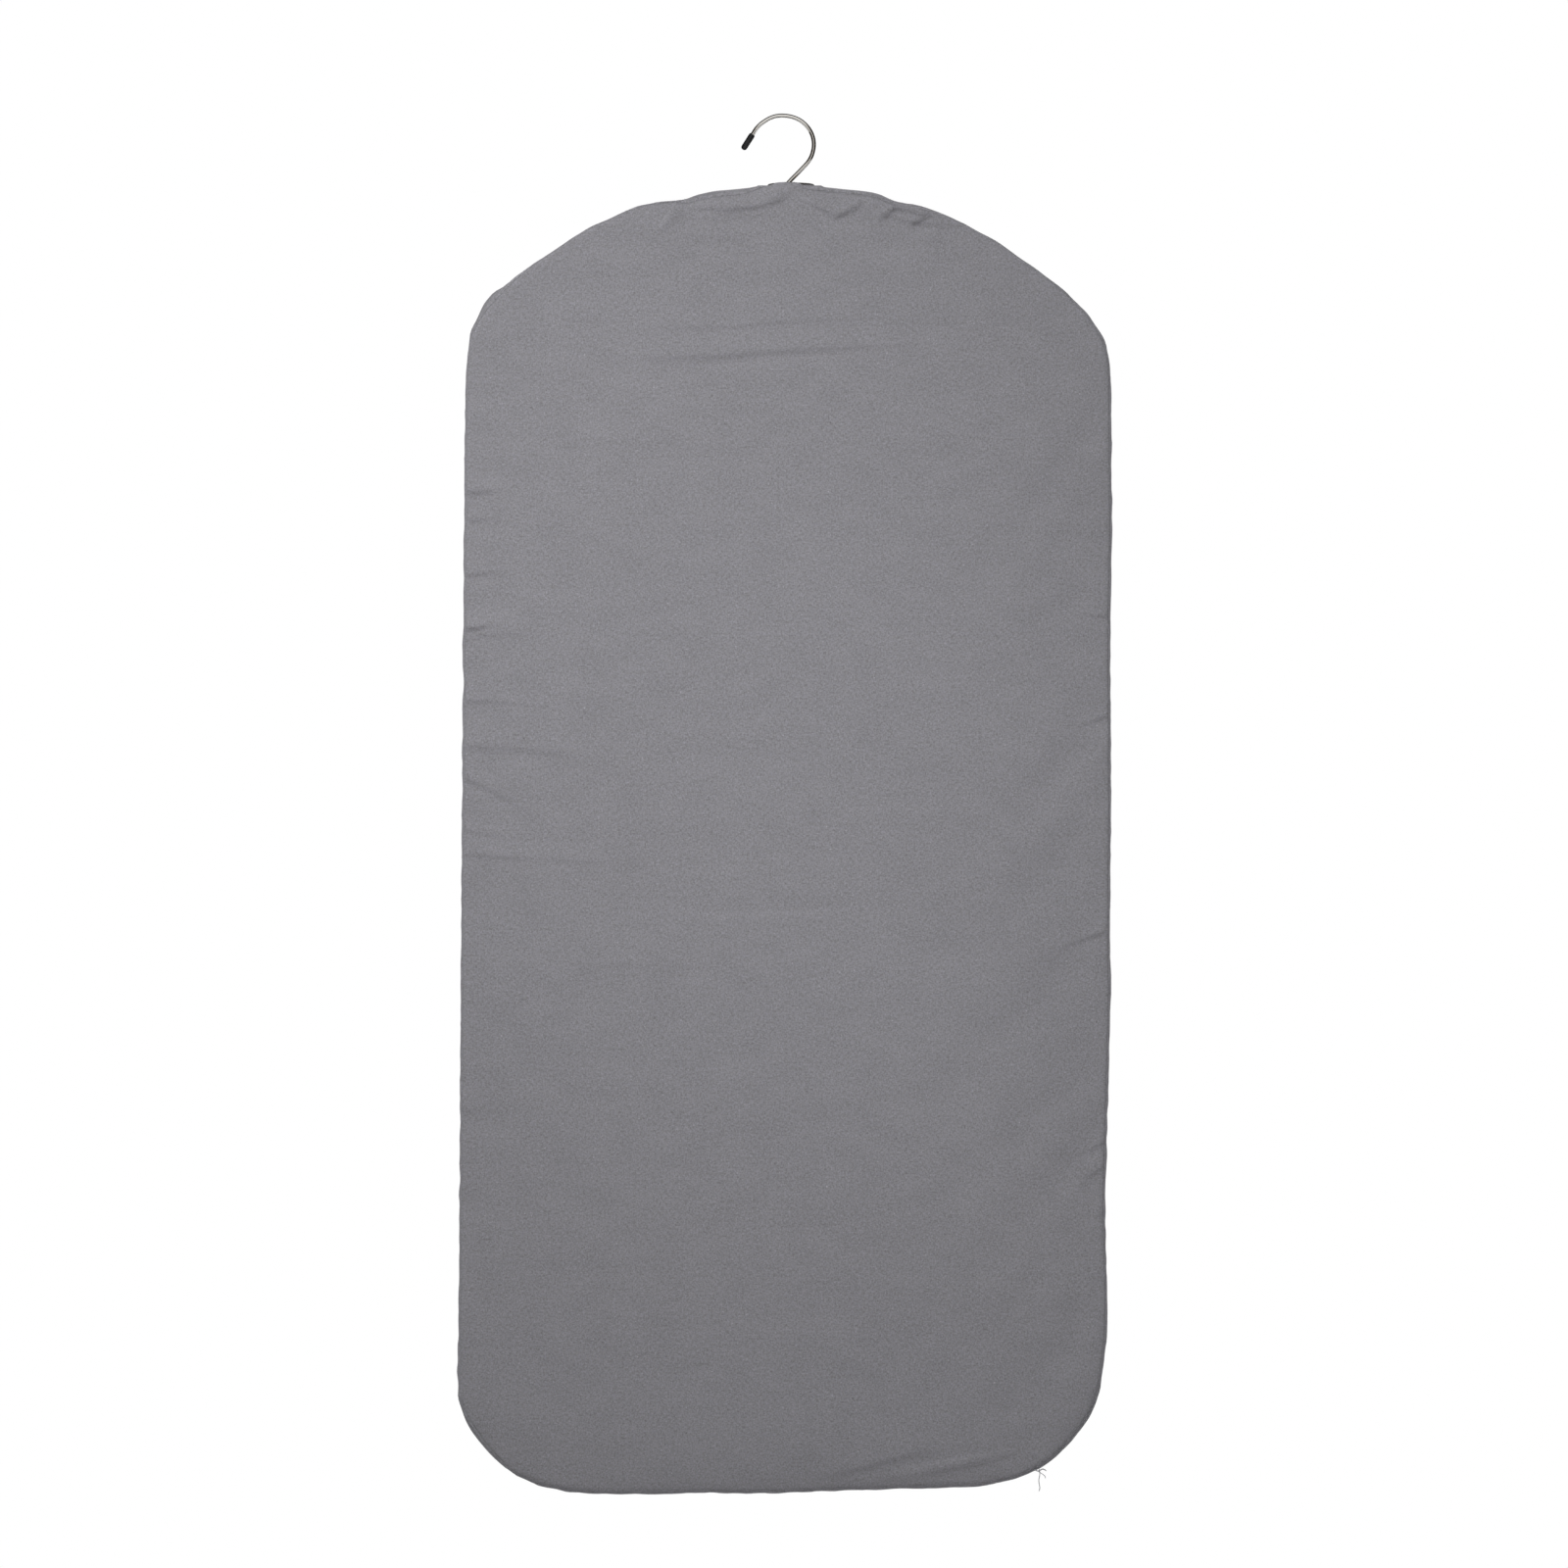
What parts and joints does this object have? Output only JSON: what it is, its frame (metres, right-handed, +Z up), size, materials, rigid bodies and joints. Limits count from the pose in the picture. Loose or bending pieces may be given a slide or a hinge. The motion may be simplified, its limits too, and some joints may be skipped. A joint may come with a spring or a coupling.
{
  "type": "garment bag",
  "caption": "Plain gusseted cloth garment bag on a contoured wooden hanger whose chrome swivel hook passes through a top eyelet; full-length zip at the back.",
  "frame": {"origin": "inner crest of the hook, where it rests on a rail", "axes": "+Z up, so the bag hangs below the origin; -Y is the plain front of the bag, +Y its back with the zip, +X to the right of somebody looking at the front"},
  "size_m": [0.56, 0.0582, 1.1895],
  "materials": {
    "cloth": "matte, fine grey melange plain weave",
    "seam_tape": "matte ribbed tape",
    "zip_tape": "matte herringbone tape",
    "zip_coil": "satin nylon",
    "zip_metal": "polished nickel plate",
    "eyelet_metal": "polished nickel plate",
    "hook_chrome": "mirror polished wire",
    "fastener_steel": "zinc plated",
    "vinyl": "black, satin, dipped",
    "wood": "satin lacquered beech"
  },
  "bodies": {
    "hook": {"hook": "hook_chrome", "hook_tip": "vinyl"},
    "hanger": {"hanger_arm_left": "wood", "hanger_arm_right": "wood", "trouser_bar": "wood", "hook_collar": "hook_chrome", "hook_washer": "fastener_steel"},
    "bag": {"front_panel": "cloth", "back_panel_left": "cloth", "back_panel_right": "cloth", "gusset_left": "cloth", "gusset_right": "cloth", "hook_patch": "cloth", "zip_top_tab": "cloth", "zip_bottom_tab": "cloth", "eyelet": "eyelet_metal", "eyelet_washer": "eyelet_metal", "front_seam_binding": "seam_tape", "back_seam_binding_left": "seam_tape", "back_seam_binding_right": "seam_tape", "zip_tape_left": "zip_tape", "zip_tape_right": "zip_tape", "zip_coil_left": "zip_coil", "zip_coil_right": "zip_coil", "zip_top_stop_left": "zip_metal", "zip_top_stop_right": "zip_metal", "zip_bottom_stop": "zip_metal"},
    "slider": {"zip_slider": "zip_metal"},
    "puller": {"zip_puller": "zip_metal"}
  },
  "joints": [
    {"name": "hook_swivel", "type": "hinge", "parent": "hook", "child": "hanger", "pos_m": [0, 0, -0.08], "axis": [0, 0, 1], "continuous": true},
    {"name": "bag_lift", "type": "slide", "parent": "hanger", "child": "bag", "axis": [0, 0, 1], "range_m": [0, 0.004]},
    {"name": "zip_slide", "type": "slide", "parent": "bag", "child": "slider", "axis": [0, 0, -1], "range_m": [0, 1.06]},
    {"name": "puller_flip", "type": "hinge", "parent": "slider", "child": "puller", "pos_m": [0, 0.0303, -0.0961], "axis": [1, 0, 0], "range_deg": [0, 170]}
  ]
}
